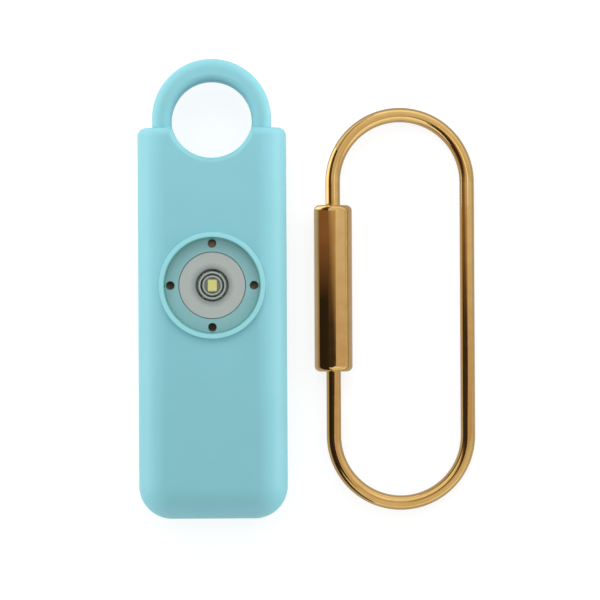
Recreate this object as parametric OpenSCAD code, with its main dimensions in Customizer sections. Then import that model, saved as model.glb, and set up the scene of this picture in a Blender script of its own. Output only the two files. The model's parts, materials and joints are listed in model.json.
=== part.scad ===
// Personal safety alarm with a pull-out bow, a siren window with a light, and a brass screw-lock key ring.
// The alarm lies on its back: +Z leaves its front face, +Y runs to the bow, +X to the key ring beside it.
// The origin is on the back face, on the axis of the siren window. All sizes are in millimetres.

/* [Housing] */
// Width of the housing
body_w = 31.6; // [28:0.1:36]
// Length of the housing from the siren axis to its round end
body_below = 49.6; // [45:0.1:60]
// Length of the housing from the siren axis to its flat top
body_above = 33.5; // [30:0.1:40]
// Thickness of the housing, back face to front face
body_t = 15; // [13.5:0.1:18]
// Radius of the long edges and of the edge around the round end
edge_r = 6.3; // [5.6:0.1:6.5]
// Radius of the two corners at the round end, seen from the front
corner_r = 7; // [6.6:0.1:7.4]
// Radius of the edge around the flat top
top_edge_r = 1.7; // [0.6:0.1:1.9]
// Thickness of the shell walls
wall = 1.6; // [1.3:0.1:1.8]
// Height of the tongue with which the rear shell enters the front shell
tongue_h = 0.9; // [0.6:0.1:1.2]
// Thickness of that tongue
tongue_t = 0.7; // [0.5:0.05:0.8]
// Clearance around the tongue
seam_gap = 0.1; // [0.05:0.05:0.15]
// Width of the groove that marks the seam outside
seam_line_w = 0.24; // [0.1:0.02:0.4]
// Depth of that groove
seam_line_depth = 0.3; // [0.1:0.05:0.5]
// Distance of the lower screws inside the corners' centre lines
screw_in = 1; // [0.5:0.1:1.5]

/* [Pull bow] */
// Distance of the bow's legs from the sides of the housing
bow_margin = 3.15; // [2.5:0.05:3.5]
// Height of the eye's centre above the flat top
eye_rise = 1.25; // [1:0.05:3]
// Width of the bow's legs, seen from the front
bar_w = 4.1; // [3.6:0.05:4.6]
// Extra width of the bow's bar at its crown
crown_extra = 0.75; // [0.2:0.05:1.2]
// Depth of the bow's bar, front to back
bar_t = 8.5; // [6.5:0.1:10]
// Radius of the bar's edges
bar_edge_r = 1.9; // [1:0.1:2]
// Width of the tenons that enter the housing
tenon_w = 2.6; // [2:0.1:3]
// Depth of the tenons, front to back
tenon_t = 5.6; // [4.5:0.1:6.2]
// Clearance around the tenons, on each side
tenon_fit = 0.1; // [0.05:0.05:0.2]
// Free depth under the end of a tenon
tenon_end_gap = 0.5; // [0.3:0.1:1]
// Step around the ends of the tenons
tenon_lead_in = 0.4; // [0.2:0.1:0.6]
// Wall around the tenon sockets
socket_wall = 1.2; // [1:0.1:1.4]
// Depth of the saddle below the flat top
saddle_depth = 6.45; // [5:0.05:7]
// Radius of the edges of the saddle
saddle_edge_r = 1.2; // [0.6:0.1:1.4]

/* [Siren window] */
// Outer radius of the raised rim
rim_outer_r = 11.3; // [11:0.1:12]
// Width of the raised rim
rim_w = 1.15; // [1:0.05:1.3]
// Height of the rim above the front face
rim_h = 1; // [0.6:0.1:1.4]
// Radius of the rim's upper edges
rim_edge_r = 0.25; // [0.2:0.05:0.45]
// Slope of the rim's inner wall, which comes in by this much at its foot
rim_draft = 0.25; // [0.1:0.05:0.3]
// Depth of the rim's foot in the front face, where that face is lowest
rim_seat = 0.15; // [0.1:0.05:0.3]
// Wall of the rim's spigot in the opening
spigot_t = 0.45; // [0.4:0.05:0.6]
// Depth of the sound plate's face below the front face
plate_depth = 1.2; // [0.8:0.1:1.6]
// Thickness of the sound plate
plate_t = 1.2; // [1:0.1:1.5]
// Clearance between the front shell and what is set into its opening
window_fit = 0.1; // [0.05:0.05:0.15]
// Width of the ledge that carries the sound plate
ledge_w = 0.75; // [0.5:0.05:0.8]
// Thickness of that ledge
ledge_t = 1; // [0.8:0.1:1.4]
// Number of sound holes
port_count = 4; // [3:1:6]
// Radius of a sound hole
port_r = 0.92; // [0.6:0.02:1]
// Distance of the sound holes' centres from the rim
port_in = 1.27; // [1.2:0.01:1.6]
// Width of the sound plate between the rim and the diffuser
plate_w = 3.15; // [2.9:0.05:3.4]

/* [Light] */
// Width of the flange behind the sound plate
diffuser_flange_w = 0.5; // [0.4:0.05:0.6]
// Thickness of that flange
diffuser_flange_t = 0.8; // [0.6:0.1:1]
// Wall of the skirt that stands on the light board
diffuser_skirt_t = 1; // [0.8:0.1:1.4]
// Radius of the diffuser's edge towards the lens
diffuser_edge_r = 0.5; // [0.3:0.05:1]
// Gap between the sound plate and the diffuser
diffuser_gap = 0.15; // [0.08:0.01:0.2]
// Clearance around the lens, the LED and the siren disc
light_fit = 0.06; // [0.04:0.01:0.1]
// Radius of the clear lens
lens_r = 3.2; // [3.1:0.05:3.5]
// Thickness of the clear lens
lens_t = 0.7; // [0.5:0.05:0.8]
// Width of the bevel around the lens
lens_bevel = 0.15; // [0.05:0.05:0.3]
// Height of the reflector cup
reflector_h = 3; // [2.5:0.1:3.2]
// Wall of the cup at its upper edge
reflector_lip = 0.2; // [0.15:0.05:0.35]
// Radius of the step half way down the cup
reflector_step_r = 2.84; // [2.7:0.02:2.94]
// Width of that step
reflector_step_w = 0.26; // [0.1:0.02:0.3]
// Radius of the cup's floor
reflector_floor_r = 2.06; // [1.9:0.02:2.2]
// Width of the LED package, across the alarm
led_w = 2.2; // [1.8:0.1:2.4]
// Length of the LED package, along the alarm
led_l = 2.7; // [2.3:0.1:2.9]
// Height of the LED package
led_h = 0.7; // [0.5:0.05:0.9]
// Width of the frame around the phosphor
led_frame = 0.17; // [0.14:0.01:0.25]
// Depth of the phosphor in the package
phosphor_t = 0.3; // [0.2:0.05:0.4]
// Distance from the sound plate's back to the light board
light_depth = 2.7; // [2.5:0.1:3]
// Thickness of the light board
light_board_t = 0.8; // [0.6:0.1:1]

/* [Siren] */
// Space between the brass diaphragm and the side walls
piezo_side = 0.7; // [0.6:0.05:1.5]
// Thickness of the brass diaphragm
piezo_t = 0.3; // [0.2:0.05:0.4]
// Width of the brass left bare around the ceramic disc
ceramic_in = 3.5; // [2.5:0.1:4]
// Thickness of the ceramic disc
ceramic_t = 0.25; // [0.2:0.05:0.4]
// Air space between the diaphragm and the light board
piezo_air = 0.8; // [0.75:0.05:1]
// Width of the seat around the diaphragm
piezo_seat_w = 1.1; // [0.8:0.1:1.4]
// Depth of the lip around the diaphragm
piezo_lip_h = 0.5; // [0.4:0.05:0.7]
// Wall of that lip
piezo_lip_t = 0.45; // [0.35:0.05:0.5]
// Radius of the insulated leads
lead_r = 0.35; // [0.25:0.05:0.35]
// Length of a lead's straight ends
lead_tail = 1.4; // [1:0.1:1.8]
// Distance between the two leads of the light
lead_pitch = 2; // [1.6:0.1:2.4]
// Radius of the bend in the leads of the light
lead_bend_r = 1.2; // [0.8:0.1:1.4]
// Distance of the light's solder pads from the edge of its board
lead_pad_in = 2; // [1.5:0.1:3]

/* [Board and battery] */
// Space between the rear shell and the main board
board_gap = 1.4; // [1.2:0.1:2]
// Thickness of the main board
board_t = 1.2; // [0.8:0.1:1.4]
// Clearance between the main board and the shell
board_fit = 0.4; // [0.3:0.1:0.6]
// Space between the front shell and the strap over the cells
cell_clear = 1.9; // [1.5:0.1:2.5]
// Depth of the step in a coin cell's cap
cell_step = 0.4; // [0.3:0.05:0.5]
// Width of the crimped edge around that cap
cell_crimp = 1.2; // [0.8:0.1:1.6]
// Height of the lower contact under the cells
contact_h = 0.6; // [0.5:0.05:0.8]
// Thickness of the contact strip
contact_t = 0.3; // [0.2:0.05:0.35]
// Clearance between the cells and their holder
cell_fit = 0.15; // [0.1:0.05:0.2]
// Wall of the battery holder
holder_wall = 1; // [0.8:0.1:1.1]
// Height of the cells above the rim of their holder
holder_drop = 2; // [1.5:0.1:3]
// Width of the holder's base ring
holder_base_w = 2.4; // [2:0.1:3]
// Space between the battery holder and the screw bosses
holder_gap = 0.8; // [0.5:0.1:1.2]
// Width of the strap over the cells
clip_w = 5; // [4:0.1:7]
// Clearance of the strap beside the holder
clip_gap = 0.1; // [0.05:0.05:0.2]
// Length of the strap's feet on the main board
clip_foot = 0.9; // [0.7:0.05:1.1]
// Width of the flat bands of the lower contact
contact_band = 0.8; // [0.6:0.1:1.2]
// Space between the lower contact and the holder's base ring
contact_gap = 1.15; // [0.6:0.05:1.5]
// Radius of the screw bosses
boss_r = 3.4; // [3:0.1:3.5]
// Radius of the boss noses that pass the main board
boss_nose_r = 2.4; // [2.2:0.1:2.6]
// Radius of the screw shanks
screw_r = 1; // [0.8:0.05:1.1]
// Length of the screw shanks
screw_len = 8; // [6:0.5:9]
// Radius of the screw heads
screw_head_r = 1.9; // [1.6:0.1:2]
// Height of the screw heads
screw_head_h = 1.2; // [1:0.1:1.3]
// Depth of the screw recesses in the back
screw_recess = 1.5; // [1.3:0.1:1.6]
// Clearance around the screw heads and shanks
screw_fit = 0.2; // [0.1:0.05:0.3]
// Width of the cross slots
slot_w = 0.5; // [0.4:0.05:0.7]
// Depth of the cross slots
slot_depth = 0.7; // [0.5:0.05:0.9]
// Width of the head left around the cross slots
slot_rim = 0.7; // [0.5:0.05:0.9]

/* [Board parts] */
// Distance of the coil and the capacitor from the board's sides, to their axes
pocket_in = 3.9; // [3.5:0.1:4.5]
// Clearance around the coil, and between the capacitor and the battery holder
pocket_fit = 0.4; // [0.2:0.05:0.6]
// Height that the coil and the capacitor stay below the strap
pocket_drop = 0.8; // [0.5:0.1:2]
// Thickness of the coil's flanges
coil_flange_t = 0.9; // [0.6:0.1:1.2]
// Depth of the winding under the flanges' edges
winding_in = 0.4; // [0.2:0.1:0.8]
// Height of the capacitor's foot
cap_foot_h = 1; // [0.6:0.1:1.5]
// Depth of the crimp above that foot
cap_crimp = 0.3; // [0.2:0.05:0.4]
// Width of the controller, across the board
chip_w = 3.9; // [3:0.1:4]
// Length of the controller, along the board
chip_l = 4.9; // [4:0.1:5]
// Height of the controller
chip_h = 1.6; // [1:0.1:1.8]
// Length of a controller leg
chip_leg_l = 1.1; // [0.8:0.1:1.4]
// Width of a controller leg
chip_leg_w = 0.42; // [0.3:0.02:0.5]
// Thickness of the legs of the controller and the transistor
leg_t = 0.2; // [0.15:0.05:0.4]
// Distance between the controller's legs
chip_leg_pitch = 1.27; // [1:0.01:1.3]
// Radius of the mark at the controller's first leg
chip_mark_r = 0.3; // [0.2:0.05:0.5]
// Distance of that mark from the controller's edges
chip_mark_in = 0.65; // [0.5:0.05:0.8]
// Depth of that mark
chip_mark_depth = 0.1; // [0.05:0.05:0.2]
// Width of the transistor, across the board
drive_w = 4.4; // [4:0.1:4.6]
// Length of the transistor, along the board
drive_l = 2.4; // [2:0.1:2.6]
// Height of the transistor
drive_h = 1.5; // [1.2:0.1:1.8]
// Width of the transistor's tab
drive_tab_w = 1.8; // [1.4:0.1:2]
// Length of the transistor's tab and legs
drive_leg_l = 0.8; // [0.5:0.1:1]
// Width of a transistor leg
drive_leg_w = 0.45; // [0.35:0.05:0.6]
// Distance between the transistor's legs
drive_leg_pitch = 1.5; // [1.3:0.05:1.6]
// Width of a resistor
resistor_w = 0.8; // [0.5:0.1:1]
// Length of a resistor
resistor_l = 1.6; // [1:0.1:2]
// Height of a resistor
resistor_h = 0.5; // [0.35:0.05:0.6]
// Distance between the resistors in their row
resistor_pitch = 2.4; // [1.6:0.1:2.6]

/* [Switch] */
// Radius of the plunger's stem
plunger_r = 1.2; // [1:0.05:1.3]
// Width of the plunger's collar
collar_w = 0.6; // [0.4:0.05:0.6]
// Thickness of the plunger's collar
collar_t = 0.6; // [0.5:0.05:0.8]
// Thickness of the switch's neck around the stem
neck_t = 1; // [0.8:0.1:1.2]
// Space between the siren's lip and the switch
switch_gap = 2.2; // [1.8:0.1:2.6]
// Clearance around the plunger
plunger_fit = 0.12; // [0.1:0.02:0.15]
// Travel of the plunger
plunger_travel = 1.2; // [0.8:0.1:1.4]
// Wall around the switch chamber
switch_wall = 0.5; // [0.4:0.05:0.55]
// Length of the spring under the plunger when pressed
spring_len = 2.6; // [2.4:0.1:3]
// Radius of the spring wire
spring_wire_r = 0.15; // [0.1:0.01:0.16]

/* [Key ring] */
// Radius of the brass wire
wire_r = 1.55; // [1.2:0.05:1.7]
// Distance between the two straight runs of wire
ring_span = 28.75; // [24:0.05:36]
// Length of the straight runs
ring_straight = 54; // [53:0.5:70]
// Outer radius of the lock sleeve
sleeve_r = 4.05; // [3.6:0.05:4.6]
// Length of the lock sleeve
sleeve_len = 35.5; // [33:0.1:36]
// Radius of the sleeve's end edges
sleeve_edge_r = 1.2; // [0.4:0.1:1.3]
// Wall of the lock sleeve
sleeve_wall = 1.4; // [1:0.1:1.5]
// Length of the thread in the sleeve's upper end
thread_len = 7.5; // [6:0.5:8]
// Height of the thread's ridge
thread_h = 0.2; // [0.1:0.05:0.3]
// Clearance of the wire in the sleeve
wire_fit = 0.08; // [0.05:0.01:0.15]
// Distance of the sleeve from the upper bend
sleeve_drop = 4.8; // [3:0.1:6]
// Length of the bush in the sleeve's lower end
bush_len = 5; // [4:0.1:6]
// Length of the stop on the lower wire end
stop_len = 3; // [2:0.1:4]
// Clearance around the stop
stop_fit = 0.2; // [0.15:0.05:0.3]
// Free depth of the thread past the wire's end, and of the bore past the stop
ring_end_gap = 0.5; // [0.3:0.1:0.8]
// Space between the housing and the lock sleeve
ring_gap = 5.85; // [3:0.05:10]
// Distance of the ring's middle below the siren axis
ring_shift = 5.2; // [0:0.1:10]

/* [Hidden] */
$fn = 64;

// Overlap with which pieces of one solid run into each other, and cuts run past a face
bite = 0.3;
// Gap between flat faces of pieces that part from each other
touch = 0.05;

// Centre lines of the rounded corners, and the inside of the shells
corner_x = body_w / 2 - edge_r;
corner_y = -(body_below - edge_r);
round_x = body_w / 2 - corner_r;
round_y = -(body_below - corner_r);
mid_z = body_t / 2;
inner_back = wall;
inner_front = body_t - wall;
// Outward reach of the cavity past a corner's centre line, at a height near the back
function cavity_reach(z) = sqrt(pow(edge_r - wall, 2) - pow(max(edge_r - z, 0), 2));
// Depth of the front face under its middle, at a distance from the centre line
function face_drop(x) = edge_r - sqrt(pow(edge_r, 2) - pow(max(x - corner_x, 0), 2));

// Eye and bow
bow_r = body_w / 2 - bow_margin;
eye_r = bow_r - bar_w;
eye_y = body_above + eye_rise;
crown_y = eye_y + crown_extra;
leg_x = eye_r + bar_w / 2;
// The saddle meets the eye at the flat top, and is cut as an arc of the given depth
saddle_half_w = sqrt(pow(eye_r, 2) - pow(eye_rise, 2));
saddle_r = (pow(saddle_half_w, 2) + pow(saddle_depth, 2)) / (2 * saddle_depth);
saddle_y = body_above - saddle_depth + saddle_r;
saddle_foot_y = body_above - saddle_depth - wall;
// An edge that is rounded over starts at a slight angle to the faces that it joins
over_round = 1.02;

// Siren window, from the front face inwards
rim_inner_r = rim_outer_r - rim_w;
spigot_r = rim_inner_r + spigot_t;
opening_r = spigot_r + window_fit;
rim_foot_z = body_t - face_drop(rim_outer_r) - rim_seat;
plate_top = body_t - plate_depth;
plate_back = plate_top - plate_t;
ledge_back = plate_back - ledge_t;
port_circle_r = rim_inner_r - port_in;
diffuser_r = rim_inner_r - plate_w;
light_top = plate_back - light_depth;
light_back = light_top - light_board_t;
lens_hole_r = lens_r + light_fit;
reflector_top = light_top + reflector_h;
led_hole_r = norm([led_w, led_l]) / 2 + light_fit;
phosphor_w = led_w - 2 * led_frame;
phosphor_l = led_l - 2 * led_frame;

// Siren chamber, as wide as the side walls allow
piezo_r = body_w / 2 - wall - piezo_side;
ceramic_r = piezo_r - ceramic_in;
seat_z = light_back - piezo_air;
chamber_r = piezo_r - piezo_seat_w;
ledge_rib_r = chamber_r + bite;
disc_pocket_r = piezo_r + light_fit;
lip_r = disc_pocket_r + piezo_lip_t;
diaphragm_back = seat_z - piezo_t;
ceramic_back = diaphragm_back - ceramic_t;
// The light's leads leave the chamber at the upper left, the brass disc's lead turns down at the lower left
light_lead_turn = 30;
brass_lead_turn = 45;

// Case screws, one under the saddle and two at the round end
lower_screw_x = corner_x - screw_in;
upper_screw_y = lip_r + boss_r - bite;
SCREWS = [[0, upper_screw_y], [-lower_screw_x, corner_y], [lower_screw_x, corner_y]];

// Switch beside the siren, and the right tenon's socket above it
collar_r = plunger_r + collar_w;
chamber_in_r = collar_r + plunger_fit;
switch_half_w = chamber_in_r + switch_wall;
switch_end_y = sqrt(pow(lip_r + switch_gap, 2) - pow(leg_x - switch_half_w, 2));
spring_foot_y = switch_end_y + switch_wall;
collar_top_y = spring_foot_y + spring_len + collar_t;
switch_top_y = collar_top_y + plunger_fit + plunger_travel + neck_t;
socket_foot_y = switch_top_y + board_fit;
socket_end_y = socket_foot_y + socket_wall;
socket_side_x = leg_x - tenon_w / 2 - tenon_fit - socket_wall;
tenon_end_y = socket_end_y + tenon_end_gap;
plunger_tip_y = tenon_end_y - touch;
spring_turns = 3;
spring_steps = 10;
spring_sides = 6;

// Main board, clamped between the bosses
board_back = inner_back + board_gap;
board_top = board_back + board_t;
board_half_w = corner_x + cavity_reach(board_back) - board_fit;
board_end_y = corner_y - cavity_reach(board_back) + board_fit;
board_shoulder_y = switch_top_y;
board_tongue_w = 2 * (socket_side_x - board_fit);
board_tongue_y = saddle_foot_y - 2 * board_fit;
board_tail_w = 2 * (lower_screw_x - boss_nose_r - board_fit);

// Battery: the cells are as wide as the board leaves them between the strap's feet
holder_out_r = board_half_w - clip_foot - contact_t - clip_gap;
holder_in_r = holder_out_r - holder_wall;
cell_r = holder_in_r - cell_fit;
cell_foot = board_top + contact_h;
cell_h = (inner_front - cell_clear - contact_t - cell_foot) / 2;
cell_top = cell_foot + 2 * cell_h;
cell_y = corner_y + sqrt(pow(holder_out_r + boss_r + holder_gap, 2) - pow(lower_screw_x, 2));
holder_base_in_r = holder_in_r - holder_base_w;
contact_foot_r = holder_base_in_r - contact_gap;
contact_rest_r = contact_foot_r - 5 * contact_band;

// Coil and capacitor, in the pockets between the siren, the battery and the sides
pocket_x = board_half_w - pocket_in;
siren_edge_y = -sqrt(pow(lip_r, 2) - pow(pocket_x, 2));
battery_edge_y = cell_y + sqrt(pow(holder_out_r, 2) - pow(pocket_x, 2));
pocket_y = (siren_edge_y + battery_edge_y) / 2;
siren_space = norm([pocket_x, pocket_y]) - lip_r;
battery_space = norm([pocket_x, pocket_y - cell_y]) - holder_out_r;
coil_r = min(pocket_in, siren_space, battery_space) - pocket_fit;
coil_waist_r = coil_r / 2;
cap_r = coil_r * 2 / 3;
// Place along the board of a round part in a pocket, beside the battery holder
function beside_battery(r) = cell_y + sqrt(pow(holder_out_r + pocket_fit + r, 2) - pow(pocket_x, 2));
pocket_h = cell_top - pocket_drop - board_top;

// Small parts under the siren
chip_at = [0, -piezo_r / 2];
drive_at = [piezo_r / 2, -piezo_r / 2];
resistor_y = piezo_r * 0.6;
ceramic_tap = [-ceramic_r * 0.4, ceramic_r * 0.3];
brass_tap_r = (ceramic_r + piezo_r) / 2;

// Key ring: the sleeve and the far run of wire both lie on the ground
sleeve_x = body_w / 2 + ring_gap + sleeve_r;
ring_tilt = asin((sleeve_r - wire_r) / ring_span);
bend_r = ring_span / 2;
sleeve_top_y = ring_straight / 2 - sleeve_drop;
sleeve_foot_y = sleeve_top_y - sleeve_len;
bore_r = sleeve_r - sleeve_wall;
thread_core_r = wire_r - thread_h;
thread_engaged = thread_len - ring_end_gap;
stop_r = bore_r - stop_fit;
stop_foot_y = sleeve_foot_y + bush_len + ring_end_gap;
stop_top_y = stop_foot_y + stop_len;

// Colours as the photo shows them, and usual ones for what is inside
AQUA = "#86c8ce";
AQUA_GREY = "#80b2b4";
FROSTED = "#b4babc";
CLEAR = "#dfe8e8";
BRIGHT = "#c9ced2";
BRASS = "#c8a060";
STEEL = "#b8bcc0";
BOARD = "#2f6b4a";
BLACK = "#26282a";

// Quarter of a disc in the first quadrant
module quarter_disc(r) {
    intersection() {
        circle(r);
        square(r);
    }
}

// Rectangle with round corners, centred
module rounded_rect(w, h, r) {
    square([w - 2 * r, h], center = true);
    for (side = [0, 1])
        mirror([side, 0]) {
            translate([w / 2 - r, r - h / 2])
                square([r, h - 2 * r]);
            for (end = [0, 1])
                mirror([0, end])
                    translate([w / 2 - r, h / 2 - r])
                        quarter_disc(r);
        }
}

// Slot with half-round ends, centred, h measured over the ends
module slot_shape(w, h) {
    square([w, h - w], center = true);
    for (end = [0, 1])
        mirror([0, end])
            translate([0, (h - w) / 2])
                intersection() {
                    circle(w / 2);
                    translate([-w / 2, 0])
                        square([w, w / 2]);
                }
}

// Extrudes a shape drawn in X and Z along Y, from y0 up to y1
module along_y(y0, y1) {
    translate([0, y0, 0])
        rotate([90, 0, 0])
            mirror([0, 0, 1])
                linear_extrude(y1 - y0)
                    children();
}

// Revolves a profile, drawn as radius and length, around an axis along Y
module around_y(angle = 360) {
    rotate([-90, 0, 0])
        rotate_extrude(angle = angle)
            children();
}

// Ring between two radii and two heights
module tube(r_in, r_out, z0, z1) {
    rotate_extrude()
        translate([r_in, z0])
            square([r_out - r_in, z1 - z0]);
}

// Right half of the rounded end, as radius and height, for a skin at the given depth
module end_profile(inset) {
    r = edge_r - inset;
    flat_h = mid_z - edge_r;
    flat_l = corner_r - edge_r;
    translate([0, mid_z])
        for (face = [0, 1])
            mirror([0, face]) {
                square([flat_l, flat_h + r]);
                translate([flat_l, 0])
                    square([r, flat_h]);
                translate([flat_l, flat_h])
                    quarter_disc(r);
            }
}

// Pillow-edged slab with one round end, at the given depth under the outer skin
module slab(inset, top_y) {
    for (span = [[round_y, 0], [0, top_y]])
        along_y(span[0], span[1])
            translate([0, mid_z])
                rounded_rect(body_w - 2 * inset, body_t - 2 * inset, edge_r - inset);
    translate([round_x, round_y, 0])
        rotate([90, 0, -90])
            linear_extrude(2 * round_x)
                end_profile(inset);
    for (side = [0, 1])
        mirror([side, 0, 0])
            translate([round_x, round_y, 0])
                rotate([0, 0, -90])
                    rotate_extrude(angle = 90)
                        end_profile(inset);
}

// Edge of the flat top: from a corner's centre line out to the rounded edge
module top_edge_profile() {
    square([edge_r - top_edge_r, top_edge_r]);
    translate([edge_r - top_edge_r, 0])
        quarter_disc(top_edge_r);
}

// Closing layer of the slab at the flat top, with a rounded edge all round
module top_layer() {
    foot_y = body_above - top_edge_r;
    flat_t = body_t - 2 * edge_r;
    translate([-corner_x, foot_y, edge_r])
        cube([2 * corner_x, top_edge_r, flat_t]);
    for (side = [0, 1])
        mirror([side, 0, 0])
            translate([corner_x, foot_y, edge_r])
                linear_extrude(flat_t)
                    top_edge_profile();
    for (face = [0, 1])
        translate([0, 0, mid_z])
            mirror([0, 0, face])
                translate([0, foot_y, edge_r - mid_z]) {
                    translate([-corner_x, 0, 0])
                        rotate([0, 90, 0])
                            linear_extrude(2 * corner_x)
                                top_edge_profile();
                    for (side = [0, 1])
                        mirror([side, 0, 0])
                            translate([corner_x, 0, 0])
                                around_y(90)
                                    top_edge_profile();
                }
}

// Cutter for a bore through a thickness, with its edges rounded over at both faces
module rounded_bore(r, t, over_r) {
    translate([0, 0, mid_z])
        rotate_extrude() {
            translate([0, -t / 2 - bite])
                square([r, t + 2 * bite]);
            for (face = [0, 1])
                mirror([0, face])
                    translate([0, t / 2 - over_r])
                        difference() {
                            square([r + over_r, over_r + bite]);
                            translate([r + over_r, 0])
                                circle(over_r * over_round);
                        }
        }
}

// Outer form of the closed housing
module outer_form() {
    difference() {
        union() {
            slab(0, body_above - top_edge_r);
            top_layer();
        }
        translate([0, saddle_y, 0])
            rounded_bore(saddle_r, body_t, saddle_edge_r);
    }
}

// Form of the housing at a depth under its skin
module inner_form(inset) {
    difference() {
        slab(inset, body_above - inset);
        translate([0, saddle_y, -bite])
            cylinder(r = saddle_r + inset, h = body_t + 2 * bite);
    }
}

// Space between two heights, wide enough for the whole housing
module layer(z0, z1) {
    translate([-body_w, -body_below - body_w, z0])
        cube([2 * body_w, body_below + body_above + 2 * body_w, z1 - z0]);
}

// Shallow groove around the outside, where the shells meet
module seam_line() {
    difference() {
        layer(mid_z - seam_line_w / 2, mid_z + seam_line_w / 2);
        inner_form(seam_line_depth);
    }
}

// Blocks around the tenon sockets, filled from wall to wall
module socket_blocks() {
    for (side = [0, 1])
        mirror([side, 0, 0])
            translate([socket_side_x, socket_foot_y, 0])
                cube([body_w / 2 - socket_side_x, body_above - socket_foot_y, body_t]);
}

// Sockets for the two tenons, and the hole for the plunger under the right one
module socket_cuts() {
    for (side = [-1, 1])
        along_y(socket_end_y, body_above + bite)
            translate([side * leg_x, mid_z])
                slot_shape(tenon_w + 2 * tenon_fit, tenon_t + 2 * tenon_fit);
    along_y(socket_foot_y - bite, socket_end_y + bite)
        translate([leg_x, mid_z])
            circle(plunger_r + plunger_fit);
}

// Front half of the housing, with the window, the siren chamber and the screw bosses
module front_shell() {
    color(AQUA)
        difference() {
            union() {
                intersection() {
                    difference() {
                        outer_form();
                        inner_form(wall);
                    }
                    layer(mid_z, body_t + bite);
                }
                intersection() {
                    front_ribs();
                    inner_form(wall / 2);
                }
            }
            front_cuts();
        }
}

// Ribs on the inside of the front shell
module front_ribs() {
    rib_top = inner_front + bite;
    tube(chamber_r, lip_r, seat_z - piezo_lip_h, rib_top);
    tube(opening_r - ledge_w, ledge_rib_r, ledge_back, rib_top);
    for (at = SCREWS)
        translate(at) {
            translate([0, 0, board_top])
                cylinder(r = boss_r, h = rib_top - board_top);
            translate([0, 0, board_back])
                cylinder(r = boss_nose_r, h = board_t + bite);
        }
    intersection() {
        socket_blocks();
        layer(mid_z, rib_top);
    }
}

// What is cut from the front shell
module front_cuts() {
    notch_w = lead_pitch + 4 * lead_r;
    seam_line();
    tube(0, rim_outer_r, rim_foot_z, body_t + rim_h);
    tube(0, opening_r, plate_back, body_t + rim_h);
    tube(0, opening_r - ledge_w, ledge_back - bite, plate_back + bite);
    tube(0, disc_pocket_r, seat_z - piezo_lip_h - bite, seat_z);
    for (at = SCREWS)
        translate([at.x, at.y, board_back - bite])
            cylinder(r = screw_r, h = screw_recess + screw_len - board_back + 2 * bite);
    socket_cuts();
    rotate(light_lead_turn)
        translate([-notch_w / 2, chamber_r - bite, seat_z - piezo_lip_h - bite])
            cube([notch_w, lip_r - chamber_r + 2 * bite, light_back + piezo_lip_h + bite - seat_z]);
    intersection() {
        difference() {
            inner_form(wall - tongue_t - seam_gap);
            inner_form(wall + seam_gap / 2);
        }
        layer(mid_z - bite, mid_z + tongue_h + seam_gap);
    }
}

// Rear half of the housing, with a tongue that enters the front shell
module rear_shell() {
    color(AQUA)
        difference() {
            union() {
                intersection() {
                    difference() {
                        outer_form();
                        inner_form(wall);
                    }
                    layer(-bite, mid_z);
                }
                intersection() {
                    difference() {
                        inner_form(wall - tongue_t);
                        inner_form(wall);
                    }
                    layer(mid_z - bite, mid_z + tongue_h);
                }
                intersection() {
                    rear_ribs();
                    inner_form(wall / 2);
                }
            }
            seam_line();
            socket_cuts();
            for (at = SCREWS)
                translate([at.x, at.y, -bite]) {
                    cylinder(r = screw_head_r + screw_fit, h = screw_recess + bite);
                    cylinder(r = screw_r + screw_fit, h = board_back + 2 * bite);
                }
        }
}

// Screw bosses and socket blocks of the rear shell
module rear_ribs() {
    for (at = SCREWS)
        translate([at.x, at.y, inner_back - bite])
            cylinder(r = boss_r, h = board_gap + bite);
    intersection() {
        socket_blocks();
        layer(inner_back - bite, mid_z);
    }
}

// Three pan-head screws that hold the shells together from the back
module case_screws() {
    slot_l = 2 * (screw_head_r - slot_rim);
    color(STEEL)
        for (at = SCREWS)
            translate([at.x, at.y, screw_recess]) {
                cylinder(r = screw_r, h = screw_len);
                difference() {
                    translate([0, 0, -screw_head_h])
                        cylinder(r = screw_head_r, h = screw_head_h);
                    for (turn = [0, 90])
                        rotate(turn)
                            translate([-slot_l / 2, -slot_w / 2, -screw_head_h - bite])
                                cube([slot_l, slot_w, slot_depth + bite]);
                }
            }
}

// Bow: an arch around the eye, wider at its crown than at its legs, each with a tenon for its socket
module pull_bow() {
    shoulder_y = body_above + touch;
    color(AQUA) {
        difference() {
            union() {
                along_y(shoulder_y, crown_y)
                    translate([0, mid_z])
                        rounded_rect(2 * bow_r, bar_t, bar_edge_r);
                translate([0, crown_y, mid_z])
                    rotate_extrude(angle = 180)
                        intersection() {
                            rounded_rect(2 * bow_r, bar_t, bar_edge_r);
                            translate([0, -bar_t / 2])
                                square([bow_r, bar_t]);
                        }
            }
            translate([0, eye_y, 0])
                rounded_bore(eye_r, bar_t, bar_edge_r);
        }
        for (side = [-1, 1]) {
            along_y(tenon_end_y + tenon_lead_in, shoulder_y)
                translate([side * leg_x, mid_z])
                    slot_shape(tenon_w, tenon_t);
            along_y(tenon_end_y, tenon_end_y + tenon_lead_in)
                translate([side * leg_x, mid_z])
                    slot_shape(tenon_w - tenon_lead_in, tenon_t - tenon_lead_in);
        }
    }
}

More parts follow.
